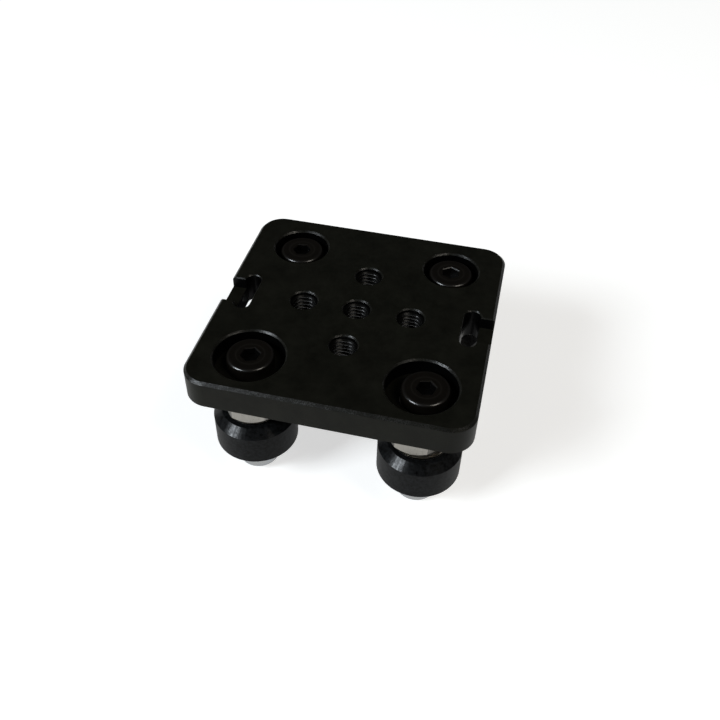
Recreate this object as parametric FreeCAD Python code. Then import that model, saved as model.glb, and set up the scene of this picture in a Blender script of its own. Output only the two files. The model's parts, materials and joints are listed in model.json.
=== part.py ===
import FreeCAD, Part
import math
import os

# Small carriage on four V wheels, two on fixed axles and two on eccentric ones that set the preload.
# Millimetres. X runs along its travel, Y across it towards the fixed axles, and Z up.
# The origin is the centre of the plate's top face, where the middle tapped hole opens.

os.makedirs("parts", exist_ok=True)

# Plate
plate_length = 50.0
plate_width = 50.0
plate_thickness = 6.0
plate_corner_radius = 4.5
plate_edge_chamfer = 0.5

# Five M5 tapped holes in a plus pattern
tapped_hole_radius = 2.5
tapped_hole_pitch = 10.0
tapped_hole_countersink = 0.25

# Belt slots, one in the middle of each end of the plate
belt_slot_width = 3.0
belt_slot_length = 9.7
belt_slot_inset = 4.1
belt_pocket_width = 6.5
belt_pocket_depth = 2.3
belt_slot_chamfer = 0.2

# Wheel positions: how far the axles are from the plate's ends, where the treads are from its middle,
# and how much further out the plate holes of the eccentric axles are
axle_inset = 10.0
tread_from_middle = 8.31
eccentric_hole_setback = 0.47

# M5 low-head socket screws
screw_radius = 2.5
screw_length = 25.0
screw_point_chamfer = 0.5
thread_depth = 0.4
thread_end_length = 3.0
thread_above_insert = 0.3
head_radius = 4.2
head_height = 2.6
head_edge_radius = 0.55
socket_across_flats = 3.0
socket_depth = 1.5
socket_chamfer = 0.15

# Recesses that sink the screw heads below the plate's top face
recess_depth = 3.2
recess_chamfer = 0.3
rear_recess_clearance = 1.05
front_recess_clearance = 1.26

# Fits
plate_hole_clearance = 0.1
bore_clearance = 0.05
boss_clearance = 0.05
turning_gap = 0.02
hole_chamfer = 0.3
cut_overrun = 1.0

# Spacers between the plate and the wheels
spacer_height = 6.0
spacer_radius = 5.0
spacer_chamfer = 0.4

# Eccentric spacers of the front pair, whose bore is off the boss's axis, towards one flat
eccentric_across_flats = 10.0
eccentric_offset = 0.79
eccentric_boss_wall = 0.21
eccentric_boss_setback = 0.32
eccentric_left_turn = 98.0
eccentric_right_turn = 27.0

# Precision shims
spacer_shim_radius = 4.0
spacer_shim_thickness = 1.0
bearing_shim_clearance = 0.5
bearing_shim_thickness = 1.0

# Shielded ball bearings, 5 x 10 x 4 mm, two in each wheel
bearing_radius = 5.0
bearing_width = 4.0
ball_radius = 0.675
ball_running_gap = 0.02
race_half_width = 0.7
race_depth = 0.22
balls_per_bearing = 7
shield_thickness = 0.25
shield_recess = 0.2
shield_inner_gap = 0.15

# V wheels
wheel_radius = 7.62
wheel_width = 8.8
wheel_side_wall = 1.11
wheel_rib_height = 0.5
wheel_bore_chamfer = 0.2

# M5 lock nuts with a nylon insert
nut_across_flats = 8.0
nut_corner_angle = 15.0
nut_hex_height = 3.5
nut_height = 5.0
nut_collar_radius = 3.75
nut_collar_chamfer = 0.5
nut_mouth_clearance = 0.3
nut_lip_thickness = 0.2
insert_height = 1.3
insert_wall = 0.8
insert_thread_gap = 0.2

# Turned-off corners of a hexagon: how far inside the flats they start, their slopes in degrees on the
# nuts and on the eccentric spacers, and how far past the corners the turning tool starts
hexagon_face_inset = 0.13
nut_corner_slope = 30.0
eccentric_corner_slope = 50.0
hexagon_overrun = 0.1

# Levels, from the top face down through one clamped stack
plate_bottom = -plate_thickness
recess_floor = -recess_depth
boss_top = recess_floor - eccentric_boss_setback
spacer_bottom = plate_bottom - spacer_height
stack_top = spacer_bottom - spacer_shim_thickness
upper_bearing_bottom = stack_top - bearing_width
lower_bearing_top = upper_bearing_bottom - bearing_shim_thickness
stack_bottom = lower_bearing_top - bearing_width
wheel_level = (stack_top + stack_bottom) / 2
nut_bottom = stack_bottom - nut_height
insert_bottom = nut_bottom + nut_lip_thickness
insert_top = insert_bottom + insert_height

# Radii round the screw, from its thread out to its recess
thread_core_radius = screw_radius - thread_depth
insert_inner_radius = thread_core_radius + insert_thread_gap
insert_outer_radius = insert_inner_radius + insert_wall
nut_mouth_radius = screw_radius + nut_mouth_clearance
bore_radius = screw_radius + bore_clearance
eccentric_boss_radius = bore_radius + eccentric_offset + eccentric_boss_wall
rear_hole_radius = screw_radius + plate_hole_clearance
front_hole_radius = eccentric_boss_radius + boss_clearance
rear_recess_radius = head_radius + rear_recess_clearance
front_recess_radius = head_radius + eccentric_offset + front_recess_clearance

# Radii inside the bearings and the wheel
ball_circle_radius = (bore_radius + bearing_radius) / 2
inner_race_radius = ball_circle_radius - ball_radius - ball_running_gap
outer_race_radius = ball_circle_radius + ball_radius + ball_running_gap
inner_ring_land_radius = inner_race_radius + race_depth
outer_ring_land_radius = outer_race_radius - race_depth
wheel_side_radius = bearing_radius + wheel_side_wall
wheel_rib_radius = bearing_radius - wheel_rib_height
bearing_shim_radius = wheel_rib_radius - bearing_shim_clearance

# Axes of the screw holes in the plate
axle_x = plate_length / 2 - axle_inset
rear_axis_y = tread_from_middle + wheel_radius
front_axis_y = -rear_axis_y - eccentric_hole_setback

# Edges are picked by their place to within this length
picking_tolerance = 0.001


class Axle:
    """One wheel position: where its plate hole is and where its screw stands."""

    def __init__(self, name, x, y, offset=0.0, turn=0.0, socket_turn=0.0):
        self.name = name
        self.hole = (x, y)
        self.turn = turn
        self.socket_turn = socket_turn
        angle = math.radians(turn)
        self.screw = (x + offset * math.cos(angle), y + offset * math.sin(angle))
        self.eccentric = offset > 0


axles = [
    Axle("rear_left", -axle_x, rear_axis_y, socket_turn=10.0),
    Axle("rear_right", axle_x, rear_axis_y, socket_turn=35.0),
    Axle("front_left", -axle_x, front_axis_y, eccentric_offset, eccentric_left_turn, 22.0),
    Axle("front_right", axle_x, front_axis_y, eccentric_offset, eccentric_right_turn, 15.0),
]


def save(node, solids):
    """Write one node, which is a solid or a group of separate solids."""
    shape = solids[0] if len(solids) == 1 else Part.makeCompound(solids)
    shape.exportStep("parts/" + node + ".step")


def cylinder(radius, low, high, centre=(0.0, 0.0)):
    """Upright cylinder between two levels."""
    base = FreeCAD.Vector(centre[0], centre[1], low)
    return Part.makeCylinder(radius, high - low, base)


def cone(low_radius, high_radius, low, high, centre=(0.0, 0.0)):
    """Upright cone frustum between two levels."""
    base = FreeCAD.Vector(centre[0], centre[1], low)
    return Part.makeCone(low_radius, high_radius, high - low, base)


def turned(profile, centre=(0.0, 0.0)):
    """Solid of revolution from (radius, level) points, about an upright axis."""
    points = [FreeCAD.Vector(centre[0] + radius, centre[1], level) for radius, level in profile]
    face = Part.Face(Part.makePolygon(points + points[:1]))
    axis_foot = FreeCAD.Vector(centre[0], centre[1], 0)
    return face.revolve(axis_foot, FreeCAD.Vector(0, 0, 1), 360)


def ring(inner_radius, outer_radius, low, high, centre):
    """Flat ring with square edges."""
    corners = [(inner_radius, low), (outer_radius, low), (outer_radius, high), (inner_radius, high)]
    return turned(corners, centre)


def around(centre, radius, angle, level):
    """Point at an angle in degrees round an upright axis."""
    x = centre[0] + radius * math.cos(math.radians(angle))
    y = centre[1] + radius * math.sin(math.radians(angle))
    return FreeCAD.Vector(x, y, level)


def hexagon_outline(across_flats, level, centre, corner_angle):
    """Closed hexagon with one corner at the given angle from +X."""
    corner_radius = across_flats / math.sqrt(3)
    points = [around(centre, corner_radius, corner_angle + 60 * side, level) for side in range(6)]
    return Part.makePolygon(points + points[:1])


def hexagon(across_flats, low, high, centre, corner_angle):
    """Hexagonal prism between two levels."""
    outline = hexagon_outline(across_flats, low, centre, corner_angle)
    return Part.Face(outline).extrude(FreeCAD.Vector(0, 0, high - low))


def chamfered_hexagon(across_flats, low, high, centre, corner_angle, slope):
    """Hexagonal prism with its corners turned off at both ends, as on a nut."""
    face_radius = across_flats / 2 - hexagon_face_inset
    barrel_radius = across_flats / math.sqrt(3) + hexagon_overrun
    drop = (barrel_radius - face_radius) * math.tan(math.radians(slope))
    barrel = [
        (0.0, low),
        (face_radius, low),
        (barrel_radius, low + drop),
        (barrel_radius, high - drop),
        (face_radius, high),
        (0.0, high),
    ]
    prism = hexagon(across_flats, low, high, centre, corner_angle)
    return prism.common(turned(barrel, centre))


def obround(length, width, level, centre):
    """Closed outline of a slot with round ends that runs along Y."""
    x, y = centre
    radius = width / 2
    half = length / 2 - radius
    right_low = FreeCAD.Vector(x + radius, y - half, level)
    right_high = FreeCAD.Vector(x + radius, y + half, level)
    left_high = FreeCAD.Vector(x - radius, y + half, level)
    left_low = FreeCAD.Vector(x - radius, y - half, level)
    top = FreeCAD.Vector(x, y + half + radius, level)
    foot = FreeCAD.Vector(x, y - half - radius, level)
    edges = [
        Part.LineSegment(right_low, right_high).toShape(),
        Part.Arc(right_high, top, left_high).toShape(),
        Part.LineSegment(left_high, left_low).toShape(),
        Part.Arc(left_low, foot, right_low).toShape(),
    ]
    return Part.Wire(edges)


def flared_slot(length, width, flare, centre):
    """Cutter for a through slot whose mouths are chamfered at both faces of the plate."""
    shaft = Part.Face(obround(length, width, plate_bottom, centre))
    cutter = shaft.extrude(FreeCAD.Vector(0, 0, plate_thickness))
    for mouth, inside in ((0.0, -flare), (plate_bottom, plate_bottom + flare)):
        wide = obround(length + 2 * flare, width + 2 * flare, mouth, centre)
        narrow = obround(length, width, inside, centre)
        cutter = cutter.fuse(Part.makeLoft([wide, narrow], True, True))
    return cutter


def flared_pocket(side):
    """Cutter for the shallow pocket from a belt slot out over the end of the plate."""
    inner_x = plate_length / 2 - belt_slot_inset
    outer_x = plate_length / 2 + cut_overrun
    half = belt_pocket_width / 2
    section = [
        (-half, -belt_pocket_depth),
        (half, -belt_pocket_depth),
        (half, -belt_slot_chamfer),
        (half + belt_slot_chamfer, 0.0),
        (-half - belt_slot_chamfer, 0.0),
        (-half, -belt_slot_chamfer),
    ]
    points = [FreeCAD.Vector(side * inner_x, y, z) for y, z in section]
    face = Part.Face(Part.makePolygon(points + points[:1]))
    return face.extrude(FreeCAD.Vector(side * (outer_x - inner_x), 0, 0))


def screw_recess(radius, hole_radius, centre):
    """Cutter for a recessed, chamfered screw hole through the plate."""
    cutter = cylinder(radius, recess_floor, 0, centre)
    cutter = cutter.fuse(cylinder(hole_radius, plate_bottom, recess_floor, centre))
    mouth = cone(radius, radius + recess_chamfer, -recess_chamfer, 0, centre)
    foot = cone(hole_radius + hole_chamfer, hole_radius, plate_bottom, plate_bottom + hole_chamfer, centre)
    return cutter.fuse(mouth).fuse(foot)


def tapped_hole(centre):
    """Cutter for one threaded hole, bored at the thread's full width and countersunk."""
    wide = tapped_hole_radius + tapped_hole_countersink
    inside = plate_bottom + tapped_hole_countersink
    cutter = cylinder(tapped_hole_radius, plate_bottom, 0, centre)
    cutter = cutter.fuse(cone(tapped_hole_radius, wide, -tapped_hole_countersink, 0, centre))
    return cutter.fuse(cone(wide, tapped_hole_radius, plate_bottom, inside, centre))


def gantry_plate():
    """Machined plate with its edges broken, its holes, recesses and belt slots."""
    corner = FreeCAD.Vector(-plate_length / 2, -plate_width / 2, plate_bottom)
    plate = Part.makeBox(plate_length, plate_width, plate_thickness, corner)
    upright = [edge for edge in plate.Edges if edge.BoundBox.ZLength > picking_tolerance]
    plate = plate.makeFillet(plate_corner_radius, upright)
    rims = [edge for edge in plate.Edges if edge.BoundBox.ZLength < picking_tolerance]
    plate = plate.makeChamfer(plate_edge_chamfer, rims)
    cutters = []
    pitch = tapped_hole_pitch
    for centre in ((0, 0), (pitch, 0), (-pitch, 0), (0, pitch), (0, -pitch)):
        cutters.append(tapped_hole(centre))
    for axle in axles:
        recess_radius = front_recess_radius if axle.eccentric else rear_recess_radius
        hole_radius = front_hole_radius if axle.eccentric else rear_hole_radius
        cutters.append(screw_recess(recess_radius, hole_radius, axle.hole))
    for side in (-1, 1):
        slot_centre = (side * (plate_length / 2 - belt_slot_inset), 0)
        cutters.append(flared_slot(belt_slot_length, belt_slot_width, belt_slot_chamfer, slot_centre))
        cutters.append(flared_pocket(side))
    return plate.cut(cutters)


def wheel(centre):
    """V wheel: a flat tread between two 45 degree faces, with a bearing seat from each side."""
    low = wheel_level - wheel_width / 2
    high = wheel_level + wheel_width / 2
    bevel = wheel_radius - wheel_side_radius
    flare = wheel_bore_chamfer
    profile = [
        (bearing_radius + flare, low),
        (wheel_side_radius, low),
        (wheel_radius, low + bevel),
        (wheel_radius, high - bevel),
        (wheel_side_radius, high),
        (bearing_radius + flare, high),
        (bearing_radius, high - flare),
        (bearing_radius, upper_bearing_bottom),
        (wheel_rib_radius, upper_bearing_bottom),
        (wheel_rib_radius, lower_bearing_top),
        (bearing_radius, lower_bearing_top),
        (bearing_radius, low + flare),
    ]
    return turned(profile, centre)


def bearing_levels():
    """Bottom level of the upper and of the lower bearing in a wheel."""
    return (upper_bearing_bottom, stack_bottom)


def race_ring(wall_radius, land_radius, race_radius, low, centre):
    """Bearing ring from its plain wall to the land that its ball race is ground into."""
    middle = low + bearing_width / 2
    profile = [
        (wall_radius, low),
        (wall_radius, low + bearing_width),
        (land_radius, low + bearing_width),
        (land_radius, middle + race_half_width),
        (race_radius, middle),
        (land_radius, middle - race_half_width),
        (land_radius, low),
    ]
    return turned(profile, centre)


def outer_rings(centre):
    """Outer rings of both bearings in one wheel."""
    radii = (bearing_radius, outer_ring_land_radius, outer_race_radius)
    return [race_ring(*radii, low, centre) for low in bearing_levels()]


def inner_rings(centre):
    """Inner rings of both bearings in one wheel."""
    radii = (bore_radius, inner_ring_land_radius, inner_race_radius)
    return [race_ring(*radii, low, centre) for low in bearing_levels()]


def ball(centre, level):
    """Bearing ball with twenty flats, so that the hidden rows stay light."""
    half_height = ball_radius / math.sqrt(5)
    spread = 2 * half_height
    top = FreeCAD.Vector(centre.x, centre.y, level + ball_radius)
    foot = FreeCAD.Vector(centre.x, centre.y, level - ball_radius)
    upper = [around(centre, spread, 72 * side, level + half_height) for side in range(5)]
    lower = [around(centre, spread, 72 * side + 36, level - half_height) for side in range(5)]
    flats = []
    for side in range(5):
        after = (side + 1) % 5
        flats.append([top, upper[side], upper[after]])
        flats.append([upper[side], lower[side], upper[after]])
        flats.append([lower[side], lower[after], upper[after]])
        flats.append([foot, lower[after], lower[side]])
    faces = [Part.Face(Part.makePolygon(corners + corners[:1])) for corners in flats]
    return Part.Solid(Part.Shell(faces))


def ball_rows(centre):
    """Both rows of balls in one wheel."""
    group = []
    for low in bearing_levels():
        level = low + bearing_width / 2
        for number in range(balls_per_bearing):
            place = around(centre, ball_circle_radius, 360 * number / balls_per_bearing, level)
            group.append(ball(place, level))
    return group


def shields(centre):
    """Pressed shields that close the outward side of each bearing."""
    inner = inner_ring_land_radius + shield_inner_gap
    top = stack_top - shield_recess
    foot = stack_bottom + shield_recess
    upper = ring(inner, outer_ring_land_radius, top - shield_thickness, top, centre)
    lower = ring(inner, outer_ring_land_radius, foot, foot + shield_thickness, centre)
    return [upper, lower]


def round_spacer(centre):
    """Plain turned spacer of the rear pair."""
    face_radius = spacer_radius - spacer_chamfer
    profile = [
        (bore_radius, spacer_bottom),
        (face_radius, spacer_bottom),
        (spacer_radius, spacer_bottom + spacer_chamfer),
        (spacer_radius, plate_bottom - spacer_chamfer),
        (face_radius, plate_bottom),
        (bore_radius, plate_bottom),
    ]
    return turned(profile, centre)


def eccentric_spacer(axle):
    """Hexagonal spacer with a boss that turns in the plate and a bore off the boss's axis."""
    top = plate_bottom - turning_gap
    corner_angle = axle.turn - 30
    across, slope = eccentric_across_flats, eccentric_corner_slope
    body = chamfered_hexagon(across, spacer_bottom, top, axle.hole, corner_angle, slope)
    body = body.fuse(cylinder(eccentric_boss_radius, top, boss_top, axle.hole))
    return body.cut(cylinder(bore_radius, spacer_bottom, boss_top, axle.screw))


def screw(axle):
    """Low-head socket screw with a rounded head edge, cut to its thread's core at the chamfered end."""
    seat = recess_floor + (turning_gap if axle.eccentric else 0.0)
    top = seat + head_height
    tip = seat - screw_length
    head = cylinder(head_radius, seat, top, axle.screw)
    rim = [edge for edge in head.Edges if edge.BoundBox.ZMin > top - picking_tolerance]
    head = head.makeFillet(head_edge_radius, rim)
    thread_top = max(insert_top + thread_above_insert, tip + thread_end_length)
    shank_profile = [
        (0.0, seat),
        (screw_radius, seat),
        (screw_radius, thread_top),
        (thread_core_radius, thread_top),
        (thread_core_radius, tip + screw_point_chamfer),
        (thread_core_radius - screw_point_chamfer, tip),
        (0.0, tip),
    ]
    solid = head.fuse(turned(shank_profile, axle.screw))
    turn = axle.socket_turn
    socket = hexagon(socket_across_flats, top - socket_depth, top, axle.screw, turn)
    narrow = hexagon_outline(socket_across_flats, top - socket_chamfer, axle.screw, turn)
    wide = hexagon_outline(socket_across_flats + 2 * socket_chamfer, top, axle.screw, turn)
    mouth = Part.makeLoft([narrow, wide], True, True)
    return solid.cut([socket, mouth])


def lock_nut(centre):
    """Hexagon with a thin collar below it that is crimped over the nylon insert."""
    hex_bottom = stack_bottom - nut_hex_height
    across, slope = nut_across_flats, nut_corner_slope
    body = chamfered_hexagon(across, hex_bottom, stack_bottom, centre, nut_corner_angle, slope)
    collar = [
        (0.0, nut_bottom),
        (nut_collar_radius - nut_collar_chamfer, nut_bottom),
        (nut_collar_radius, nut_bottom + nut_collar_chamfer),
        (nut_collar_radius, hex_bottom),
        (0.0, hex_bottom),
    ]
    hollow = [
        (0.0, nut_bottom),
        (nut_mouth_radius, nut_bottom),
        (nut_mouth_radius, insert_bottom),
        (insert_outer_radius, insert_bottom),
        (insert_outer_radius, insert_top),
        (bore_radius, insert_top),
        (bore_radius, stack_bottom),
        (0.0, stack_bottom),
    ]
    return body.fuse(turned(collar, centre)).cut(turned(hollow, centre))


def nut_insert(centre):
    """Nylon ring that grips the thread."""
    return ring(insert_inner_radius, insert_outer_radius, insert_bottom, insert_top, centre)


def bearing_shim(centre):
    """Thin ring that keeps the two inner rings apart."""
    return ring(bore_radius, bearing_shim_radius, lower_bearing_top, upper_bearing_bottom, centre)


def spacer_shim(centre):
    """Thin ring that lets the spacer press on the inner ring alone."""
    return ring(bore_radius, spacer_shim_radius, stack_top, spacer_bottom, centre)


def wheel_set(axle):
    """Every piece that is stacked on one screw."""
    name = axle.name
    at = axle.screw
    save(name + "_wheel", [wheel(at)])
    save(name + "_bearing_outer_rings", outer_rings(at))
    save(name + "_bearing_inner_rings", inner_rings(at))
    save(name + "_bearing_balls", ball_rows(at))
    save(name + "_bearing_shields", shields(at))
    save(name + "_bearing_shim", [bearing_shim(at)])
    save(name + "_spacer_shim", [spacer_shim(at)])
    if axle.eccentric:
        save(name + "_eccentric_spacer", [eccentric_spacer(axle)])
    else:
        save(name + "_spacer", [round_spacer(at)])
    save(name + "_screw", [screw(axle)])
    save(name + "_lock_nut", [lock_nut(at)])
    save(name + "_nut_insert", [nut_insert(at)])


save("gantry_plate", [gantry_plate()])
for each_axle in axles:
    wheel_set(each_axle)
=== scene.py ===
# %% [markdown]
# # Dressing a small four-wheel carriage
#
# The part is a black anodised plate on four V wheels. Each wheel turns on two ball bearings, which a
# low-head screw and a lock nut clamp under the plate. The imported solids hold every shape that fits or
# turns. This lesson adds what the eye sees: threads, round bearing balls, the finish of each surface,
# and a small studio to photograph them in.

# %% Load the frame and keep its size
import json
import math

import bpy
from mathutils import Matrix, Quaternion, Vector


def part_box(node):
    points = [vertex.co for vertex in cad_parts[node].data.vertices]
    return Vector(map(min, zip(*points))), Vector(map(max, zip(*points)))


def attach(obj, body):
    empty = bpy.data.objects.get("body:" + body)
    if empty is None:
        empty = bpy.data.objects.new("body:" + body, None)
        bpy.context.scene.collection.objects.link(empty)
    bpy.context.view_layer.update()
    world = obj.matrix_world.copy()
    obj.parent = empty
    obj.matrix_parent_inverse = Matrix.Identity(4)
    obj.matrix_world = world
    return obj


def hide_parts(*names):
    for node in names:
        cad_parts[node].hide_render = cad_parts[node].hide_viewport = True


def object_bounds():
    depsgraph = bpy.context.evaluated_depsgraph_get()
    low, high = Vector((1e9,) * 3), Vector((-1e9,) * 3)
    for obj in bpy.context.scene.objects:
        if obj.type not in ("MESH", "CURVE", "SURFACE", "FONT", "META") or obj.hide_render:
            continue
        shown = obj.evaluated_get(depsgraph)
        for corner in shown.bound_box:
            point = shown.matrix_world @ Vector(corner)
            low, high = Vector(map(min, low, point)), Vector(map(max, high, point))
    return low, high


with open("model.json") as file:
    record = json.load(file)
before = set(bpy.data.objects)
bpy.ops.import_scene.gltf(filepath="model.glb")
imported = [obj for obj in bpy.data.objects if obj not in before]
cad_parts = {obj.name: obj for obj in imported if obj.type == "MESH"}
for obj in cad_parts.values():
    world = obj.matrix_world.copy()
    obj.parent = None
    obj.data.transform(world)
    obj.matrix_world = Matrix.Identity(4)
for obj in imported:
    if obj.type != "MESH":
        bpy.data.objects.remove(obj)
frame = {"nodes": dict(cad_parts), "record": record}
frame_low, frame_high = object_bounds()
print("frame from", [round(v, 5) for v in frame_low], "to", [round(v, 5) for v in frame_high])

# %% [markdown]
# ## Sizes
#
# Blender works in metres, and a machinist thinks in millimetres. One factor keeps both readable. What
# the frame already knows is read from it, such as where the screws stand and how thick the plate is, so
# nothing here has to be fitted by eye.

# %% Sizes and places
mm = 0.001
corners = ("rear_left", "rear_right", "front_left", "front_right")
plate_low, plate_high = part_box("gantry_plate")


def screw_axis(corner):
    """Middle of a corner's screw, seen from above."""
    low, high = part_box(corner + "_screw")
    return Vector(((low.x + high.x) / 2, (low.y + high.y) / 2, 0.0))


axes = {corner: screw_axis(corner) for corner in corners}
mounts = {mount["name"]: mount for mount in frame["record"]["mounts"]}
hole_circle = mounts["accessory_holes"]["dims"]["pcd_mm"] / 2 * mm
hole_radius = mounts["accessory_holes"]["dims"]["hole_r_mm"] * mm
for corner in corners:
    print(corner, "screw at", [round(v / mm, 3) for v in axes[corner].xy], "mm")

# %% [markdown]
# ## Editing with operators
#
# An operator acts on whatever is selected, so each piece starts from an empty selection. These two
# helpers clear it, and pick vertices by their place. Picking in code is what a box select does by hand.

# %% Selection helpers
def deselect_all():
    """Leave nothing selected in object mode."""
    bpy.ops.object.select_all(action="DESELECT")


def pick(piece, wanted):
    """In edit mode, select only the vertices whose place passes the test."""
    bpy.ops.mesh.select_all(action="DESELECT")
    bpy.ops.object.mode_set(mode="OBJECT")
    for vertex in piece.data.vertices:
        vertex.select = wanted(vertex.co)
    bpy.ops.object.mode_set(mode="EDIT")


print("selected after loading:", len(bpy.context.selected_objects), "objects")
deselect_all()
print("selected now:", len(bpy.context.selected_objects))

# %% [markdown]
# ## A thread as a wound ridge
#
# A tap cuts an M5 thread with a pitch of 0.8 mm. From above one sees its crests as fine rings, each a
# little lower than the last. A helix could be written point by point, but a lathe does not work that
# way: it moves one small tooth along while the work turns. The Screw modifier does the same. A square
# is tapered into the section of one tooth, its crest is rounded with a vertex bevel, and the modifier
# winds it round the axis. The rounding matters, since it is what draws the bright line on each turn.
# The two open ends are then filled, so the ridge is a closed body that stands on the wall of its hole.

# %% Wind one ridge
thread_pitch = 0.8 * mm
thread_depth = 0.4 * mm
tooth_root = 0.7 * mm
tooth_crest = 0.16 * mm
crest_round = 0.07 * mm
tooth_bite = 0.03 * mm
steps_per_turn = 48
weld_distance = 0.001 * mm
smooth_below = math.radians(40)


def thread_ridge(name, wall_radius, crest_radius, low, high):
    """Ridge of a right-hand thread, from the wall it stands on to its crest, between two levels."""
    deselect_all()
    bpy.ops.mesh.primitive_plane_add(size=1.0, rotation=(math.radians(90), 0.0, 0.0))
    ridge = bpy.context.object
    ridge.name = name
    bpy.ops.object.transform_apply(location=True, rotation=True, scale=True)
    inwards = crest_radius < wall_radius
    root_radius = wall_radius + (tooth_bite if inwards else -tooth_bite)
    bpy.ops.object.mode_set(mode="EDIT")
    middle = Vector(((root_radius + crest_radius) / 2, 0.0, low + tooth_root / 2))
    width = abs(root_radius - crest_radius)
    bpy.ops.mesh.select_all(action="SELECT")
    bpy.ops.transform.resize(value=(width, 1.0, tooth_root), center_override=(0.0, 0.0, 0.0))
    bpy.ops.transform.translate(value=middle)
    pick(ridge, lambda co: abs(co.x - crest_radius) < width / 4)
    bpy.ops.transform.resize(value=(1.0, 1.0, tooth_crest / tooth_root), center_override=middle)
    bpy.ops.mesh.bevel(offset=crest_round, segments=2, affect="VERTICES")
    bpy.ops.object.mode_set(mode="OBJECT")
    turns = (high - low - tooth_root) / thread_pitch
    winding = ridge.modifiers.new("winding", "SCREW")
    winding.axis = "Z"
    winding.angle = 2 * math.pi * turns
    winding.screw_offset = thread_pitch * turns
    winding.steps = round(steps_per_turn * turns)
    winding.render_steps = winding.steps
    winding.use_smooth_shade = False
    bpy.ops.object.modifier_apply(modifier=winding.name)
    bpy.ops.object.mode_set(mode="EDIT")
    bpy.ops.mesh.select_all(action="SELECT")
    bpy.ops.mesh.remove_doubles(threshold=weld_distance)
    bpy.ops.mesh.fill_holes(sides=0)
    bpy.ops.mesh.select_all(action="SELECT")
    bpy.ops.mesh.normals_make_consistent(inside=False)
    bpy.ops.object.mode_set(mode="OBJECT")
    bpy.ops.object.shade_smooth_by_angle(angle=smooth_below)
    return ridge


print("thread pitch", round(thread_pitch / mm, 2), "mm, drawn in", steps_per_turn, "steps a turn")

# %% [markdown]
# ## Five tapped holes
#
# The plate has five of these holes in a plus. The solid is bored at the full width of the thread, so
# the ridge grows inwards from the wall. It stops short of the countersink at each mouth, as a real
# thread does. One ridge is wound in the middle hole, and the other four are copies of it.

# %% Threads of the tapped holes
countersink = 0.3 * mm


def copy_of(piece, name, shift):
    """Copy of a finished piece with its own mesh, moved by a shift that goes into the mesh."""
    twin = piece.copy()
    twin.data = piece.data.copy()
    twin.name = name
    twin.data.transform(Matrix.Translation(shift))
    bpy.context.scene.collection.objects.link(twin)
    return twin


hole_thread = thread_ridge(
    "middle_hole_thread",
    hole_radius,
    hole_radius - thread_depth,
    plate_low.z + countersink,
    plate_high.z - countersink,
)
hole_shifts = {
    "right_hole_thread": Vector((hole_circle, 0.0, 0.0)),
    "left_hole_thread": Vector((-hole_circle, 0.0, 0.0)),
    "far_hole_thread": Vector((0.0, hole_circle, 0.0)),
    "near_hole_thread": Vector((0.0, -hole_circle, 0.0)),
}
hole_threads = [hole_thread]
for name, shift in hole_shifts.items():
    hole_threads.append(copy_of(hole_thread, name, shift))
for ridge in hole_threads:
    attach(ridge, "carriage_plate")
print("hole threads:", len(hole_threads), "of", len(hole_thread.data.polygons), "faces each")

# %% [markdown]
# ## Threads at the screw tips
#
# Below each lock nut a little of the screw stands out. Its solid is cut down to the core of the thread
# there, so the same helper winds a ridge that grows outwards. The ridge rides with its own screw, which
# on the front pair turns with the eccentric spacer.

# %% Threads of the screw tips
screw_radius = 2.5 * mm
tip_thread_length = 2.6 * mm
tip_chamfer = 0.35 * mm
body_of_screw = {
    "rear_left": "carriage_plate",
    "rear_right": "carriage_plate",
    "front_left": "front_left_eccentric",
    "front_right": "front_right_eccentric",
}
tip_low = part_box("rear_left_screw")[0].z + tip_chamfer
tip_thread = thread_ridge(
    "rear_left_screw_thread",
    screw_radius - thread_depth,
    screw_radius,
    tip_low,
    tip_low + tip_thread_length,
)
tip_threads = {}
for corner in corners[1:]:
    shift = axes[corner] + Vector((0.0, 0.0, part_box(corner + "_screw")[0].z + tip_chamfer - tip_low))
    tip_threads[corner] = copy_of(tip_thread, corner + "_screw_thread", shift)
tip_thread.data.transform(Matrix.Translation(axes["rear_left"]))
tip_threads["rear_left"] = tip_thread
for corner, ridge in tip_threads.items():
    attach(ridge, body_of_screw[corner])
print("tip threads:", len(tip_threads), "of", len(tip_thread.data.polygons), "faces each")

# %% [markdown]
# ## Round bearing balls
#
# The solids stand for the balls with cut flats, because nobody sees them behind the shields. A real
# ball is ground round to less than a thousandth of a millimetre. A cube gives even quads with no poles,
# so one is subdivided and cast to a sphere. It is then moved to its race, spun round the wheel's axis in
# copies to make a row, and the row is copied down to the second bearing.

# %% Ball rows
ball_radius = 0.675 * mm
ball_circle = 3.775 * mm
balls_in_row = 7
ball_levels = 3


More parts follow.
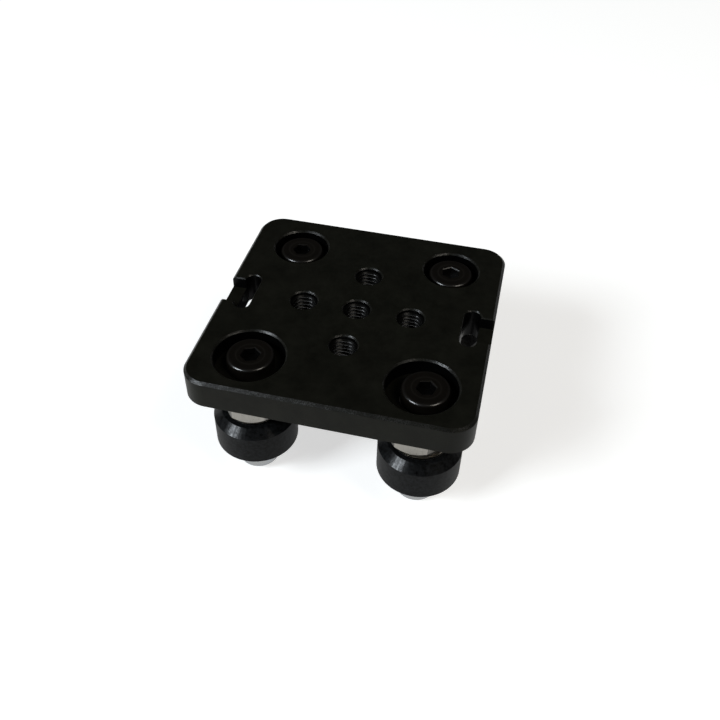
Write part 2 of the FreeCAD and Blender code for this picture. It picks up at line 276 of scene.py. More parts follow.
def ball_rows(corner):
    """Both rows of balls of one wheel, as one piece."""
    low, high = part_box(corner + "_bearing_balls")
    axis = axes[corner]
    upper = high.z - ball_radius
    drop = (low.z + ball_radius) - upper
    deselect_all()
    bpy.ops.mesh.primitive_cube_add(size=ball_radius)
    rows = bpy.context.object
    rows.name = corner + "_ball_rows"
    finer = rows.modifiers.new("finer", "SUBSURF")
    finer.levels = ball_levels
    finer.render_levels = ball_levels
    bpy.ops.object.modifier_apply(modifier=finer.name)
    rounding = rows.modifiers.new("rounding", "CAST")
    rounding.cast_type = "SPHERE"
    rounding.factor = 1.0
    rounding.use_radius_as_size = False
    rounding.size = ball_radius
    bpy.ops.object.modifier_apply(modifier=rounding.name)
    bpy.ops.object.mode_set(mode="EDIT")
    bpy.ops.mesh.select_all(action="SELECT")
    bpy.ops.transform.translate(value=(axis.x + ball_circle, axis.y, upper))
    bpy.ops.mesh.spin(
        steps=balls_in_row,
        dupli=True,
        angle=2 * math.pi,
        use_normal_flip=False,
        center=(axis.x, axis.y, upper),
        axis=(0.0, 0.0, 1.0),
    )
    bpy.ops.mesh.select_all(action="SELECT")
    bpy.ops.mesh.remove_doubles(threshold=weld_distance)
    bpy.ops.mesh.duplicate_move(TRANSFORM_OT_translate={"value": (0.0, 0.0, drop)})
    bpy.ops.mesh.select_all(action="SELECT")
    bpy.ops.mesh.normals_make_consistent(inside=False)
    bpy.ops.object.mode_set(mode="OBJECT")
    bpy.ops.object.shade_smooth()
    return rows


balls = {}
for corner in corners:
    balls[corner] = ball_rows(corner)
    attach(balls[corner], corner + "_roller")
    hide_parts(corner + "_bearing_balls")
    faces = len(balls[corner].data.polygons)
    levels = [vertex.co.z / mm for vertex in balls[corner].data.vertices]
    print(f"{balls[corner].name}: {faces} faces from {min(levels):.3f} to {max(levels):.3f} mm")

# %% [markdown]
# ## Building finishes from nodes
#
# Each finish is a small network of nodes that reads Object coordinates, so a pattern stays on its piece
# when the piece moves. Colours are written as the eye reads them on a screen, in hex, and one function
# turns them to the linear values that light is added up in. Pattern sizes are written in millimetres. A
# single function adds a node, sets it and links it, which keeps every finish short enough to read.

# %% Helpers for colours, scales and nodes
def linear(hex_colour):
    """Turn an sRGB hex colour into the linear colour that nodes work in."""
    channels = []
    for start in (1, 3, 5):
        value = int(hex_colour[start:start + 2], 16) / 255
        channels.append(value / 12.92 if value <= 0.04045 else ((value + 0.055) / 1.055) ** 2.4)
    return (*channels, 1.0)


def per_metre(size_mm):
    """Texture scale that gives features of about this size in millimetres."""
    return 1.0 / (size_mm * mm)


def add(tree, kind, inputs=None, out=0, **settings):
    """Add one node with its settings and links, and give back one of its outputs."""
    node = tree.nodes.new(kind)
    for name, value in settings.items():
        setattr(node, name, value)
    for name, value in (inputs or {}).items():
        if isinstance(name, int):
            socket = node.inputs[name]
        else:
            socket = next(s for s in node.inputs if s.name == name and s.enabled)
        if isinstance(value, bpy.types.NodeSocket):
            tree.links.new(value, socket)
        else:
            socket.default_value = value
    if isinstance(out, str):
        return node.outputs[out]
    outputs = [s for s in node.outputs if s.enabled]
    return outputs[out] if outputs else None


def new_finish(name):
    """An empty material, its node tree and the place on the piece."""
    material = bpy.data.materials.new(name)
    material.use_nodes = True
    tree = material.node_tree
    tree.nodes.clear()
    place = add(tree, "ShaderNodeTexCoord", out="Object")
    return material, tree, place


def close_finish(tree, inputs):
    """Feed one Principled surface with everything that was worked out."""
    surface = add(tree, "ShaderNodeBsdfPrincipled", inputs)
    add(tree, "ShaderNodeOutputMaterial", {"Surface": surface})


def dress(node_name, material):
    """Give a solid of the frame its finish."""
    for slot in frame["nodes"][node_name].material_slots:
        slot.material = material


print("mid grey #808080 is", round(linear("#808080")[0], 3), "in linear light")

# %% [markdown]
# ## Black anodised plate: its broken edges
#
# The plate is milled from 6 mm aluminium, blasted with fine beads, and anodised black. Its dark faces
# say little about its shape. The broken edges and countersinks draw it: they are cut after blasting, so
# the oxide on them is dense and shines in a speckled line where they lean towards the window. They could
# be picked face by face, but the solid's mesh is left as it is. A mask finds them instead, since they
# all slope at 45 degrees. Fine noise speckles them, and a coarser one makes the patches that handling
# has rubbed. The edges along the two ends are hardly rubbed.

# %% Find and rub the edges
edge_slope = math.cos(math.radians(45))
slope_margin = 0.2
end_rub = 0.12
end_band_outer = 0.5 * mm
end_band_inner = 1.2 * mm


def levelness_of(tree):
    """How level the surface is, from 0 on an upright wall to 1 on a flat face."""
    facing = add(tree, "ShaderNodeTexCoord", out="Normal")
    tilt = add(tree, "ShaderNodeSeparateXYZ", {"Vector": facing}, out="Z")
    return add(tree, "ShaderNodeMath", {0: tilt}, operation="ABSOLUTE")


def rubbed_edges(tree, place, mirrored_place, edge, grain):
    """Where the broken edges show their specks, and how far each speck is rubbed."""
    speckle = add(tree, "ShaderNodeMapRange", {"Value": grain, "From Min": 0.42, "From Max": 0.62})
    worn = add(tree, "ShaderNodeMath", {0: edge, 1: speckle}, operation="MULTIPLY")
    # Handling rubs an edge in patches of a millimetre or so.
    handling = add(tree, "ShaderNodeTexNoise", {"Vector": place, "Scale": per_metre(1.2), "Detail": 3.0})
    patches = add(
        tree,
        "ShaderNodeMapRange",
        {"Value": handling, "From Min": 0.4, "From Max": 0.62, "To Min": 0.3, "To Max": 0.95},
    )
    rubbing = add(tree, "ShaderNodeMath", {0: worn, 1: patches}, operation="MULTIPLY")
    along = add(tree, "ShaderNodeSeparateXYZ", {"Vector": mirrored_place}, out="X")
    spared = add(
        tree,
        "ShaderNodeMapRange",
        {
            "Value": along,
            "From Min": plate_high.x - end_band_inner,
            "From Max": plate_high.x - end_band_outer,
            "To Min": 1.0,
            "To Max": end_rub,
        },
    )
    burnish = add(tree, "ShaderNodeMath", {0: rubbing, 1: spared}, operation="MULTIPLY")
    return worn, burnish


print("edges slope at 45 degrees, levelness", round(edge_slope, 3), "within", slope_margin)

# %% [markdown]
# ## Black anodised plate: its milled walls and their painted shade
#
# The walls of the recesses and slots are milled after blasting too, so they are smooth. Their colour is
# also darkened to near black, which is painted shade down inside the recesses and slots. A second mask
# finds them: they are upright, and they stand inside the plate's rounded outline. That outline is every
# point at the corner radius from a smaller, sharp square, so the distance from the smaller square tells a
# wall inside from an outer one.

# %% Find the milled walls that get painted shade
corner_radius = 4.5 * mm
outer_skin = 0.3 * mm
upright_below = 0.3


def shaded_milled_walls(tree, mirrored_place, levelness):
    """1 on an upright wall inside the plate's outline, where the painted shade goes, and 0 elsewhere."""
    # The last number is the plate's thickness, which keeps the height out of the distance.
    corner_middle = (plate_high.x - corner_radius, plate_high.y - corner_radius, plate_high.z - plate_low.z)
    past = add(tree, "ShaderNodeVectorMath", {0: mirrored_place, 1: corner_middle}, operation="SUBTRACT")
    outward = add(tree, "ShaderNodeVectorMath", {0: past, 1: (0.0, 0.0, 0.0)}, operation="MAXIMUM")
    reach = add(tree, "ShaderNodeVectorMath", {0: outward}, out="Value", operation="LENGTH")
    inside = add(tree, "ShaderNodeMath", {0: reach, 1: corner_radius - outer_skin}, operation="LESS_THAN")
    upright = add(tree, "ShaderNodeMath", {0: levelness, 1: upright_below}, operation="LESS_THAN")
    return add(tree, "ShaderNodeMath", {0: inside, 1: upright}, operation="MULTIPLY")


print("walls inside", round((corner_radius - outer_skin) / mm, 2), "mm of the smaller square are milled")

# %% [markdown]
# ## Black anodised plate: the whole finish
#
# The dye in the oxide drinks nearly all light, and its pores scatter most of the rest, so it mirrors less
# than a plain plastic does and the flat faces look like soot with a faint warm cast. A plain dark colour
# would look like plastic. Here a broad cloud drives the dye, the dents of the beads give a fine bump, and
# the two masks change colour and gloss on the edges and the walls. The near black on the walls is painted
# shade. Rubbed specks get a clear coat.

# %% Anodised aluminium
def anodised_aluminium(name):
    """Black dyed oxide over a bead-blasted surface, with coarser broken edges and painted shade on the
    inner walls.
    """
    material, tree, place = new_finish(name)
    mirrored_place = add(tree, "ShaderNodeVectorMath", {0: place}, operation="ABSOLUTE")
    levelness = levelness_of(tree)
    edge = add(
        tree, "ShaderNodeMath", {0: levelness, 1: edge_slope, 2: slope_margin}, operation="COMPARE"
    )
    # Blasting beads leave dents near 0.1 mm wide, drawn here a little wider so that they show.
    grain = add(tree, "ShaderNodeTexNoise", {"Vector": place, "Scale": per_metre(0.15), "Detail": 2.0})
    worn, burnish = rubbed_edges(tree, place, mirrored_place, edge, grain)
    milled_and_shaded = shaded_milled_walls(tree, mirrored_place, levelness)
    cloud = add(
        tree,
        "ShaderNodeTexNoise",
        {"Vector": place, "Scale": per_metre(7.0), "Detail": 6.0, "Roughness": 0.8},
    )
    depth_of_dye = add(tree, "ShaderNodeMapRange", {"Value": cloud, "From Min": 0.3, "From Max": 0.7})
    dye = add(
        tree,
        "ShaderNodeMix",
        {"Factor": depth_of_dye, "A": linear("#090906"), "B": linear("#181813")},
        data_type="RGBA",
    )
    # Painted shade: the walls inside the recesses and slots are coloured near black.
    shaded_skin = add(
        tree, "ShaderNodeMix", {"Factor": milled_and_shaded, "A": dye, "B": linear("#030303")}, data_type="RGBA"
    )
    colour = add(
        tree, "ShaderNodeMix", {"Factor": worn, "A": shaded_skin, "B": linear("#131311")}, data_type="RGBA"
    )
    blasted = add(tree, "ShaderNodeMix", {"Factor": edge, "A": 0.44, "B": 0.37}, data_type="FLOAT")
    gloss = add(tree, "ShaderNodeMix", {"Factor": milled_and_shaded, "A": blasted, "B": 0.3}, data_type="FLOAT")
    depth = add(tree, "ShaderNodeMix", {"Factor": edge, "A": 0.6, "B": 1.0}, data_type="FLOAT")
    bump = add(tree, "ShaderNodeBump", {"Height": grain, "Strength": depth, "Distance": 0.022 * mm})
    close_finish(
        tree,
        {
            "Base Color": colour,
            "Roughness": gloss,
            "Specular IOR Level": 0.07,
            "Coat Weight": burnish,
            "Coat Roughness": 0.29,
            "Normal": bump,
            "Coat Normal": bump,
        },
    )
    return material


plate_finish = anodised_aluminium("black_anodised_bead_blasted_aluminium")
dress("gantry_plate", plate_finish)
print("plate finish:", plate_finish.name, len(plate_finish.node_tree.nodes), "nodes")

# %% [markdown]
# ## Anodised threads
#
# The tap leaves the flanks of a thread smooth, and they are anodised with the plate. Their colour is made
# a deeper black than the plate's face, which is painted shade down in the grooves of the hole. Screws that
# are driven in and out rub only the crests, which shine as fine rings between the grooves. A crest faces
# the axis and a flank faces up or down, so the slope of the surface tells them apart, and noise lets some
# stretches of a ring shine more than others.
# Dense alumina bends light more than lacquer does, so the rubbed coat has its IOR of 1.77.

# %% Thread finish
def tapped_oxide(name):
    """Smooth black oxide on the flanks that a tap has cut, darkened as painted shade, and rubbed crests."""
    material, tree, place = new_finish(name)
    cloud = add(tree, "ShaderNodeTexNoise", {"Vector": place, "Scale": per_metre(1.5), "Detail": 3.0})
    # Painted shade: the flanks are coloured darker than the plate's face, as shade down in the grooves.
    groove_painted_shade = add(
        tree,
        "ShaderNodeMix",
        {"Factor": cloud, "A": linear("#020202"), "B": linear("#050504")},
        data_type="RGBA",
    )
    gloss = add(tree, "ShaderNodeMapRange", {"Value": cloud, "To Min": 0.24, "To Max": 0.36})
    crest = add(
        tree,
        "ShaderNodeMapRange",
        {"Value": levelness_of(tree), "From Min": 0.35, "From Max": 0.75, "To Min": 1.0, "To Max": 0.0},
    )
    grain = add(tree, "ShaderNodeTexNoise", {"Vector": place, "Scale": per_metre(0.4), "Detail": 3.0})
    rubbed = add(
        tree,
        "ShaderNodeMapRange",
        {"Value": grain, "From Min": 0.36, "From Max": 0.6, "To Min": 0.35, "To Max": 1.0},
    )
    burnish = add(tree, "ShaderNodeMath", {0: crest, 1: rubbed}, operation="MULTIPLY")
    colour = add(
        tree, "ShaderNodeMix", {"Factor": burnish, "A": groove_painted_shade, "B": linear("#20201f")}, data_type="RGBA"
    )
    bump = add(tree, "ShaderNodeBump", {"Height": grain, "Strength": 0.4, "Distance": 0.006 * mm})
    close_finish(
        tree,
        {
            "Base Color": colour,
            "Roughness": gloss,
            "Specular IOR Level": 0.1,
            "Coat Weight": burnish,
            "Coat Roughness": 0.2,
            "Coat IOR": 1.77,
            "Normal": bump,
            "Coat Normal": bump,
        },
    )
    return material


tapped_finish = tapped_oxide("black_anodised_tapped_thread")
for ridge in hole_threads:
    ridge.data.materials.append(tapped_finish)
print("thread finish:", tapped_finish.name, "on", len(hole_threads), "threads")

# %% [markdown]
# ## Turned black acetal
#
# The wheels are turned from black acetal. The tool leaves the tread satin, with fine lines round it,
# and the two 45 degree faces that run in the groove are smoother, almost polished. They catch the
# window as one soft patch with short streaks across it. The finish needs to know where the axis of its
# wheel is, so each wheel has its own copy, centred with a Mapping node.

# %% Acetal wheels
wheel_radius = 7.62 * mm


def polar(tree, place, axis):
    """Distance from an upright axis, and the way round it as a length at the wheel's rim."""
    centred = add(tree, "ShaderNodeMapping", {"Vector": place, "Location": (-axis.x, -axis.y, 0.0)})
    flat = add(tree, "ShaderNodeVectorMath", {0: centred, 1: (1.0, 1.0, 0.0)}, operation="MULTIPLY")
    radius = add(tree, "ShaderNodeVectorMath", {0: flat}, out="Value", operation="LENGTH")
    x = add(tree, "ShaderNodeSeparateXYZ", {"Vector": centred}, out="X")
    y = add(tree, "ShaderNodeSeparateXYZ", {"Vector": centred}, out="Y")
    angle = add(tree, "ShaderNodeMath", {0: y, 1: x}, operation="ARCTAN2")
    arc = add(tree, "ShaderNodeMath", {0: angle, 1: wheel_radius}, operation="MULTIPLY")
    return radius, arc


def running_shine(tree, slope, streaks, mottle):
    """Shine of the two sloping faces, streaked across and rubbed unevenly."""
    streaky = add(
        tree,
        "ShaderNodeMapRange",
        {"Value": streaks, "From Min": 0.36, "From Max": 0.64, "To Min": 0.08, "To Max": 0.4},
    )
    rubbed = add(
        tree,
        "ShaderNodeMapRange",
        {"Value": mottle, "From Min": 0.36, "From Max": 0.6, "To Min": 0.35, "To Max": 1.1},
    )
    uneven = add(tree, "ShaderNodeMath", {0: streaky, 1: rubbed}, operation="MULTIPLY")
    return add(tree, "ShaderNodeMath", {0: slope, 1: uneven}, operation="MULTIPLY")


def acetal(name, axis):
    """Black acetal with a satin tread and smoother slopes."""
    material, tree, place = new_finish(name)
    arc = polar(tree, place, axis)[1]
    level = add(tree, "ShaderNodeSeparateXYZ", {"Vector": place}, out="Z")
    slope = add(
        tree,
        "ShaderNodeMath",
        {0: levelness_of(tree), 1: edge_slope, 2: slope_margin},
        operation="COMPARE",
    )
    # The tool feeds 0.08 mm a turn, drawn at 0.16 mm so that the lines show.
    lines = add(
        tree,
        "ShaderNodeTexNoise",
        {"W": level, "Scale": per_metre(0.16), "Detail": 2.0},
        noise_dimensions="1D",
    )
    streaks = add(
        tree,
        "ShaderNodeTexNoise",
        {"W": arc, "Scale": per_metre(0.5), "Detail": 3.0},
        noise_dimensions="1D",
    )
    grain = add(tree, "ShaderNodeTexNoise", {"Vector": place, "Scale": per_metre(0.25), "Detail": 3.0})
    mottle = add(
        tree,
        "ShaderNodeTexNoise",
        {"Vector": place, "Scale": per_metre(0.6), "Detail": 3.0, "Roughness": 0.7},
    )
    specks = add(tree, "ShaderNodeMapRange", {"Value": mottle, "From Min": 0.36, "From Max": 0.62})
    colour = add(
        tree,
        "ShaderNodeMix",
        {"Factor": specks, "A": linear("#030303"), "B": linear("#151617")},
        data_type="RGBA",
    )
    tread_gloss = add(tree, "ShaderNodeMapRange", {"Value": lines, "To Min": 0.42, "To Max": 0.56})
    slope_gloss = add(tree, "ShaderNodeMapRange", {"Value": streaks, "To Min": 0.24, "To Max": 0.36})
    gloss = add(
        tree, "ShaderNodeMix", {"Factor": slope, "A": tread_gloss, "B": slope_gloss}, data_type="FLOAT"
    )
    height = add(tree, "ShaderNodeMix", {"Factor": slope, "A": lines, "B": grain}, data_type="FLOAT")
    bump = add(tree, "ShaderNodeBump", {"Height": height, "Strength": 0.8, "Distance": 0.008 * mm})
    close_finish(
        tree,
        {
            "Base Color": colour,
            "Roughness": gloss,
            "IOR": 1.48,
            "Specular IOR Level": 0.07,
            "Coat Weight": running_shine(tree, slope, streaks, mottle),
            "Coat Roughness": 0.2,
            "Normal": bump,
            "Coat Normal": bump,
        },
    )
    return material


for corner in corners:
    wheel_finish = acetal(corner + "_turned_black_acetal", axes[corner])
    dress(corner + "_wheel", wheel_finish)
    print(corner + "_wheel:", wheel_finish.name, len(wheel_finish.node_tree.nodes), "nodes")

# %% [markdown]
# ## Turned and ground metal
#
# Bearing rings, shields, shims and spacers are all bright metal that was turned or ground round the
# screw's axis. They differ in colour, gloss and how coarse the tool's lines are, so one function makes
# them all. The lines are noise over the distance from the axis on the flat faces, and noise over the
# height on the round ones. Metal takes nearly all its look from what it mirrors, so the lines only move
# the roughness and a faint bump.

# %% Round metal finishes
def turned_metal(name, axis, colours, roughness, line_mm, bump_mm):
    """Bright metal with tool lines round an axis."""
    material, tree, place = new_finish(name)
    radius = polar(tree, place, axis)[0]
    level = add(tree, "ShaderNodeSeparateXYZ", {"Vector": place}, out="Z")
    across = add(tree, "ShaderNodeMath", {0: radius, 1: level}, operation="ADD")
    lines = add(
        tree,
        "ShaderNodeTexNoise",
        {"W": across, "Scale": per_metre(line_mm), "Detail": 3.0},
        noise_dimensions="1D",
    )
    stain = add(tree, "ShaderNodeTexNoise", {"Vector": place, "Scale": per_metre(1.6), "Detail": 4.0})
    colour = add(
        tree,
        "ShaderNodeMix",
        {"Factor": stain, "A": linear(colours[0]), "B": linear(colours[1])},
        data_type="RGBA",
    )
    gloss = add(
        tree, "ShaderNodeMapRange", {"Value": lines, "To Min": roughness[0], "To Max": roughness[1]}
    )
    bump = add(tree, "ShaderNodeBump", {"Height": lines, "Strength": 0.5, "Distance": bump_mm * mm})
    close_finish(tree, {"Base Color": colour, "Metallic": 1.0, "Roughness": gloss, "Normal": bump})
    return material


# Each metal: its two colours, the range of its roughness, the width and height of its lines in mm.
round_metals = {
    "ground_bearing_steel": (("#c9c6c0", "#b8b5b0"), (0.14, 0.26), 0.09, 0.002),
    "pressed_shield_steel": (("#a9a8a6", "#979694"), (0.3, 0.42), 0.2, 0.003),
    "ground_shim_steel": (("#bdbbb7", "#adaba7"), (0.22, 0.36), 0.12, 0.003),
    "turned_aluminium": (("#a9aaad", "#9a9b9e"), (0.24, 0.4), 0.14, 0.005),
}
metal_of_piece = {
    "bearing_outer_rings": "ground_bearing_steel",
    "bearing_inner_rings": "ground_bearing_steel",
    "bearing_shields": "pressed_shield_steel",
    "bearing_shim": "ground_shim_steel",
    "spacer_shim": "ground_shim_steel",
    "spacer": "turned_aluminium",
}
for corner in corners:
    finishes = {}
    for piece, metal in metal_of_piece.items():
        # Only the rear pair has plain spacers.
        if f"{corner}_{piece}" not in frame["nodes"]:
            continue
        if metal not in finishes:
            finishes[metal] = turned_metal(f"{corner}_{metal}", axes[corner], *round_metals[metal])
        dress(f"{corner}_{piece}", finishes[metal])
    balls[corner].data.materials.append(finishes["ground_bearing_steel"])
    print(corner, "has", ", ".join(finishes))

# %% [markdown]
# ## Drawn stainless spacers
#
# The two eccentric spacers are cut from hexagon bar, so their flats are drawn and not turned. They look
# like warm grey satin with a few dark pits and short lines along the bar. A noise that is stretched
# upwards makes the drawn lines, and a sharp cut of a fine noise makes the pits.

# %% Hexagon stock
def drawn_steel(name, colours, roughness, pit_colour):
    """Bright hexagon bar with faint lines along it and a few pits."""
    material, tree, place = new_finish(name)
    # Drawing lines are some 0.1 mm apart and run for several millimetres.
    stretched = add(tree, "ShaderNodeMapping", {"Vector": place, "Scale": (1.0, 1.0, 0.06)})
    lines = add(tree, "ShaderNodeTexNoise", {"Vector": stretched, "Scale": per_metre(0.16), "Detail": 3.0})
    speck = add(tree, "ShaderNodeTexNoise", {"Vector": place, "Scale": per_metre(0.35), "Detail": 2.0})
    pits = add(tree, "ShaderNodeMapRange", {"Value": speck, "From Min": 0.66, "From Max": 0.74})
    metal = add(
        tree,
        "ShaderNodeMix",
        {"Factor": lines, "A": linear(colours[0]), "B": linear(colours[1])},
        data_type="RGBA",
    )
    colour = add(
        tree, "ShaderNodeMix", {"Factor": pits, "A": metal, "B": linear(pit_colour)}, data_type="RGBA"
    )
    gloss = add(
        tree, "ShaderNodeMapRange", {"Value": lines, "To Min": roughness[0], "To Max": roughness[1]}
    )
    bump = add(tree, "ShaderNodeBump", {"Height": lines, "Strength": 0.4, "Distance": 0.004 * mm})
    close_finish(tree, {"Base Color": colour, "Metallic": 1.0, "Roughness": gloss, "Normal": bump})
    return material


spacer_stock = drawn_steel("drawn_stainless_hexagon", ("#999690", "#87847e"), (0.3, 0.44), "#5c5955")
for corner in ("front_left", "front_right"):
    dress(corner + "_eccentric_spacer", spacer_stock)
    print(corner + "_eccentric_spacer:", spacer_stock.name)

# %% [markdown]
# ## Zinc-plated lock nuts
#
# The nuts are cold-formed steel under bright zinc with a thin blue passivation. The plating is a
# little cloudy, and tips from cool blue to faint straw over a millimetre or two. Their inserts are
# natural nylon, which is milky and slightly waxy.

# %% Zinc and nylon
def zinc_plate():
    """Bright zinc with a cloudy blue passivation."""
    material, tree, place = new_finish("blue_passivated_zinc_plate")
    cloud = add(tree, "ShaderNodeTexNoise", {"Vector": place, "Scale": per_metre(2.2), "Detail": 4.0})
    crystals = add(tree, "ShaderNodeTexVoronoi", {"Vector": place, "Scale": per_metre(0.3)}, out="Distance")
    colour = add(
        tree,
        "ShaderNodeMix",
        {"Factor": cloud, "A": linear("#92969d"), "B": linear("#999792")},
        data_type="RGBA",
    )
    gloss = add(tree, "ShaderNodeMapRange", {"Value": crystals, "To Min": 0.2, "To Max": 0.38})
    bump = add(tree, "ShaderNodeBump", {"Height": crystals, "Strength": 0.3, "Distance": 0.004 * mm})
    close_finish(tree, {"Base Color": colour, "Metallic": 1.0, "Roughness": gloss, "Normal": bump})
    return material


def natural_nylon():
    """Milky nylon with a waxy, uneven surface."""
    material, tree, place = new_finish("natural_nylon")
    cloud = add(tree, "ShaderNodeTexNoise", {"Vector": place, "Scale": per_metre(0.9), "Detail": 3.0})
    colour = add(
        tree,
        "ShaderNodeMix",
        {"Factor": cloud, "A": linear("#e4e0d3"), "B": linear("#d9d5c8")},
        data_type="RGBA",
    )
    gloss = add(tree, "ShaderNodeMapRange", {"Value": cloud, "To Min": 0.38, "To Max": 0.54})
    close_finish(
        tree, {"Base Color": colour, "Roughness": gloss, "IOR": 1.53, "Subsurface Weight": 0.1}
    )
    return material


nut_finish = zinc_plate()
insert_finish = natural_nylon()
for corner in corners:
    dress(corner + "_lock_nut", nut_finish)
    dress(corner + "_nut_insert", insert_finish)
print("nuts:", nut_finish.name, "and", insert_finish.name)

# %% [markdown]
# ## Black oxide screws
#
# The screws are alloy steel with a black oxide and a film of oil. The oxide is a very thin crystal
# layer on the steel. The flat top stays nearly black with a brownish cast. The rounded edge of the head
# is burnished where screws rub in their box, so it draws a thin bright arc. The head was faced on a
# lathe, and its rings still show faintly under the oxide. One ring, where the die met the blank, runs
# round the socket and is a little deeper. The key rubs the socket's mouth a little. Below the mouth the
# socket is coloured near black, which is painted shade down in the hole.

# %% Black oxide
die_mark_radius = 2.5 * mm
die_mark_half_width = 0.09 * mm
socket_reach = 1.95 * mm
socket_mouth = 0.14 * mm
rim_start = 3.5 * mm
rim_end = 3.8 * mm
rim_shine = 0.8
mouth_shine = 0.12


def black_oxide(name, axis, head_top):
    """Oiled black oxide, with facing rings round the screw's axis and painted shade in the socket."""
    material, tree, place = new_finish(name)
    radius = polar(tree, place, axis)[0]
    level = add(tree, "ShaderNodeSeparateXYZ", {"Vector": place}, out="Z")
    # A facing cut feeds some 0.1 mm a turn, drawn at 0.2 mm so that the rings show.
    rings = add(
        tree,
        "ShaderNodeTexNoise",
        {"W": radius, "Scale": per_metre(0.2), "Detail": 2.0},
        noise_dimensions="1D",
    )
    cloud = add(
        tree,
        "ShaderNodeTexNoise",
        {"Vector": place, "Scale": per_metre(0.9), "Detail": 4.0, "Roughness": 0.7},
    )
    oxide = add(
        tree,
        "ShaderNodeMix",
        {"Factor": cloud, "A": linear("#050403"), "B": linear("#0f0c08")},
        data_type="RGBA",
    )
    die_mark = add(
        tree,
        "ShaderNodeMath",
        {0: radius, 1: die_mark_radius, 2: die_mark_half_width},
        operation="COMPARE",
    )
    faced_oxide = add(
        tree, "ShaderNodeMix", {"Factor": die_mark, "A": oxide, "B": linear("#171512")}, data_type="RGBA"
    )
    # The socket is 3 mm across its flats, and its mouth is tapered over the top 0.15 mm.
    inside = add(tree, "ShaderNodeMath", {0: radius, 1: socket_reach}, operation="LESS_THAN")
    deep = add(tree, "ShaderNodeMath", {0: level, 1: head_top - socket_mouth}, operation="LESS_THAN")
    socket = add(tree, "ShaderNodeMath", {0: inside, 1: deep}, operation="MULTIPLY")
    mouth = add(tree, "ShaderNodeMath", {0: inside, 1: socket}, operation="SUBTRACT")
    # Painted shade: below its mouth the socket is coloured near black, as shade down in the hole.
    colour = add(
        tree,
        "ShaderNodeMix",
        {"Factor": socket, "A": faced_oxide, "B": linear("#020202")},
        data_type="RGBA",
    )
    faced = add(tree, "ShaderNodeMapRange", {"Value": rings, "To Min": 0.24, "To Max": 0.4})
    gloss = add(tree, "ShaderNodeMix", {"Factor": socket, "A": faced, "B": 0.36}, data_type="FLOAT")
    rim = add(tree, "ShaderNodeMapRange", {"Value": radius, "From Min": rim_start, "From Max": rim_end})
    rubbed = add(tree, "ShaderNodeMath", {0: mouth, 1: mouth_shine}, operation="MULTIPLY")
    shiny_rim = add(tree, "ShaderNodeMath", {0: rim, 1: rim_shine}, operation="MULTIPLY")
    burnish = add(tree, "ShaderNodeMath", {0: shiny_rim, 1: rubbed}, operation="MAXIMUM")
    bump = add(tree, "ShaderNodeBump", {"Height": rings, "Strength": 0.5, "Distance": 0.006 * mm})
    close_finish(
        tree,
        {
            "Base Color": colour,
            "Roughness": gloss,
            "Specular IOR Level": 0.2,
            "Coat Weight": burnish,
            "Coat Roughness": 0.24,
            "Normal": bump,
        },
    )
    return material


for corner in corners:
    screw_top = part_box(corner + "_screw")[1].z
    screw_finish = black_oxide(corner + "_oiled_black_oxide", axes[corner], screw_top)
    dress(corner + "_screw", screw_finish)
    tip_threads[corner].data.materials.append(screw_finish)
    print(corner + "_screw:", screw_finish.name)

# %% [markdown]
# ## A white sweep
#
# A small product is often shot on a white sweep. The floor here is a pale matt sheet at the height of
# the screw tips, on which the part rests. More light would burn the part, so the sheet is lifted to
# clean white with a little glow that only the eye sees, directly, in a mirror or through glass. The
# shadow under the part stays.

# %% Floor
floor_size = 3.0
floor_glow = 0.63


def eye_rays(tree):
    """1 for a ray that comes straight from the camera, and 1 for one off a mirror or through glass."""
    path = add(tree, "ShaderNodeLightPath").node.outputs
    mirrored = add(
        tree,
        "ShaderNodeMath",
        {0: path["Is Glossy Ray"], 1: path["Is Transmission Ray"]},
        operation="MAXIMUM",
    )
    return path["Is Camera Ray"], mirrored


deselect_all()
bpy.ops.mesh.primitive_plane_add(size=floor_size, location=(0.0, 0.0, frame_low.z))
floor = bpy.context.object
floor.name = "studio_floor"
floor_finish, floor_tree = new_finish("pale_matt_sweep")[:2]
paper = add(floor_tree, "ShaderNodeBsdfDiffuse", {"Color": linear("#d6d6d4")})
straight, mirrored = eye_rays(floor_tree)
seen = add(floor_tree, "ShaderNodeMath", {0: straight, 1: mirrored}, operation="MAXIMUM")
lift = add(floor_tree, "ShaderNodeMath", {0: seen, 1: floor_glow}, operation="MULTIPLY")
glow = add(floor_tree, "ShaderNodeEmission", {"Strength": lift})
sheet = add(floor_tree, "ShaderNodeAddShader", {0: paper, 1: glow})
add(floor_tree, "ShaderNodeOutputMaterial", {"Surface": sheet})
floor.data.materials.append(floor_finish)
print("floor at", round(frame_low.z / mm, 2), "mm")

# %% [markdown]
# ## A dim room
#
# The world is a room that is white where the sweep meets the horizon and fades to dark overhead, which
# keeps the black plate black. Straight into the lens it is plain white. A mirror sees that white only
# below the horizon, so the glossy edges still reflect the dark room above it.

# %% World
ceiling_light = 0.045
fade_height = 0.12
horizon_height = 0.01

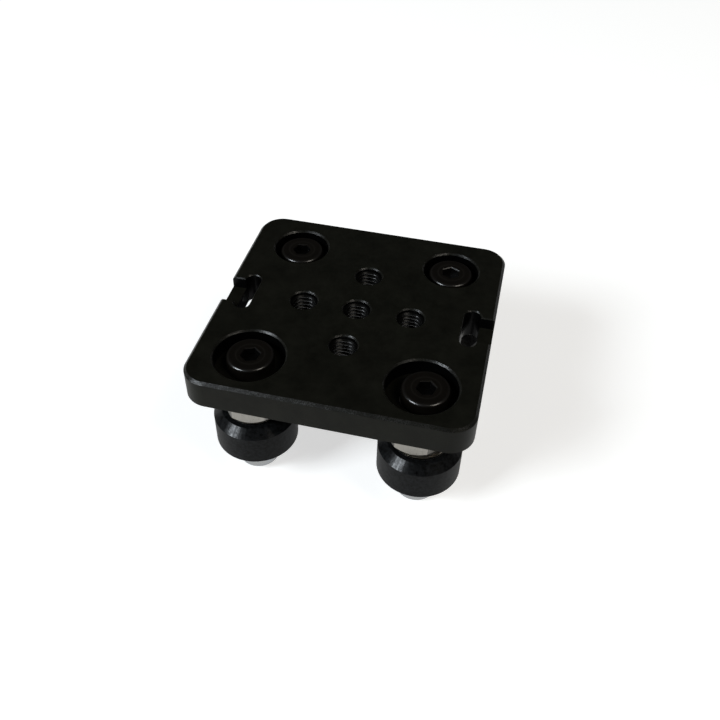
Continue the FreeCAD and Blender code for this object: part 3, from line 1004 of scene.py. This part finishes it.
world = bpy.data.worlds.new("studio_world")
bpy.context.scene.world = world
world.use_nodes = True
sky = world.node_tree
sky.nodes.clear()
direction = add(sky, "ShaderNodeTexCoord", out="Generated")
height = add(sky, "ShaderNodeSeparateXYZ", {"Vector": direction}, out="Z")
room = add(
    sky,
    "ShaderNodeMapRange",
    {"Value": height, "From Min": 0.0, "From Max": fade_height, "To Min": 1.0, "To Max": ceiling_light},
)
sky_straight, sky_mirrored = eye_rays(sky)
low = add(sky, "ShaderNodeMath", {0: height, 1: horizon_height}, operation="LESS_THAN")
low_mirrored = add(sky, "ShaderNodeMath", {0: sky_mirrored, 1: low}, operation="MULTIPLY")
white = add(sky, "ShaderNodeMath", {0: sky_straight, 1: low_mirrored}, operation="MAXIMUM")
strength = add(sky, "ShaderNodeMix", {"Factor": white, "A": room, "B": 1.0}, data_type="FLOAT")
backdrop = add(sky, "ShaderNodeBackground", {"Color": linear("#ffffff"), "Strength": strength})
add(sky, "ShaderNodeOutputWorld", {"Surface": backdrop})
print("room light from 1 at the horizon to", ceiling_light, "overhead")

# %% [markdown]
# ## Two soft lamps
#
# The gloss on the edges tells where the light stood: a large, faintly blue window in front on the left,
# and a smaller, warmer lamp high on the right. The plate shades most of the wheels from that second
# lamp, so they show little but the window. Area lamps make both. Their power is worked out from how
# bright their face should look, so a lamp can change its size and keep its look in a reflection.

# %% Lamps
def softbox(name, towards, distance, size, brightness, tint):
    """Square lamp that faces the part from a direction, as bright as stated to the eye."""
    lamp = bpy.data.lights.new(name, "AREA")
    lamp.shape = "SQUARE"
    lamp.size = size
    lamp.energy = brightness * math.pi * size * size
    lamp.color = linear(tint)[:3]
    holder = bpy.data.objects.new(name, lamp)
    way = Vector(towards).normalized()
    holder.location = way * distance
    holder.rotation_mode = "QUATERNION"
    holder.rotation_quaternion = way.to_track_quat("Z", "Y")
    bpy.context.scene.collection.objects.link(holder)
    print(name, "at", [round(v, 2) for v in holder.location], "m, power", round(lamp.energy, 2), "W")


lamp_distance = 1.2
softbox("window_left", (-0.60, -0.57, 0.55), lamp_distance, size=0.42, brightness=24.0, tint="#f0f8ff")
softbox("lamp_right", (0.55, -0.26, 0.79), lamp_distance, size=0.4, brightness=7.8, tint="#fff8ec")

# %% [markdown]
# ## Camera
#
# The picture was taken from in front, a little to the right and well above, some 150 mm from the plate.
# The camera stands at that point and looks at the middle of the carriage. A roll of under two degrees
# tilts the picture as the real one is tilted.

# %% Camera
camera_place = Vector((24.461, -109.964, 95.148)) * mm
camera_aim = Vector((1.035, -0.702, -12.0)) * mm
camera_roll = math.radians(1.651)
sensor_width_mm = 36.0
lens_mm = 40.339
nearest_seen = 1.0 * mm
camera_data = bpy.data.cameras.new("camera")
camera_data.sensor_width = sensor_width_mm
camera_data.lens = lens_mm
camera_data.clip_start = nearest_seen
camera = bpy.data.objects.new("camera", camera_data)
camera.location = camera_place
camera.rotation_mode = "QUATERNION"
level_view = (camera_aim - camera_place).to_track_quat("-Z", "Y")
camera.rotation_quaternion = level_view @ Quaternion((0.0, 0.0, 1.0), camera_roll)
bpy.context.scene.collection.objects.link(camera)
bpy.context.scene.camera = camera
bpy.context.scene.view_settings.view_transform = "Standard"
print("camera", round((camera_aim - camera_place).length / mm, 1), "mm from what it looks at")
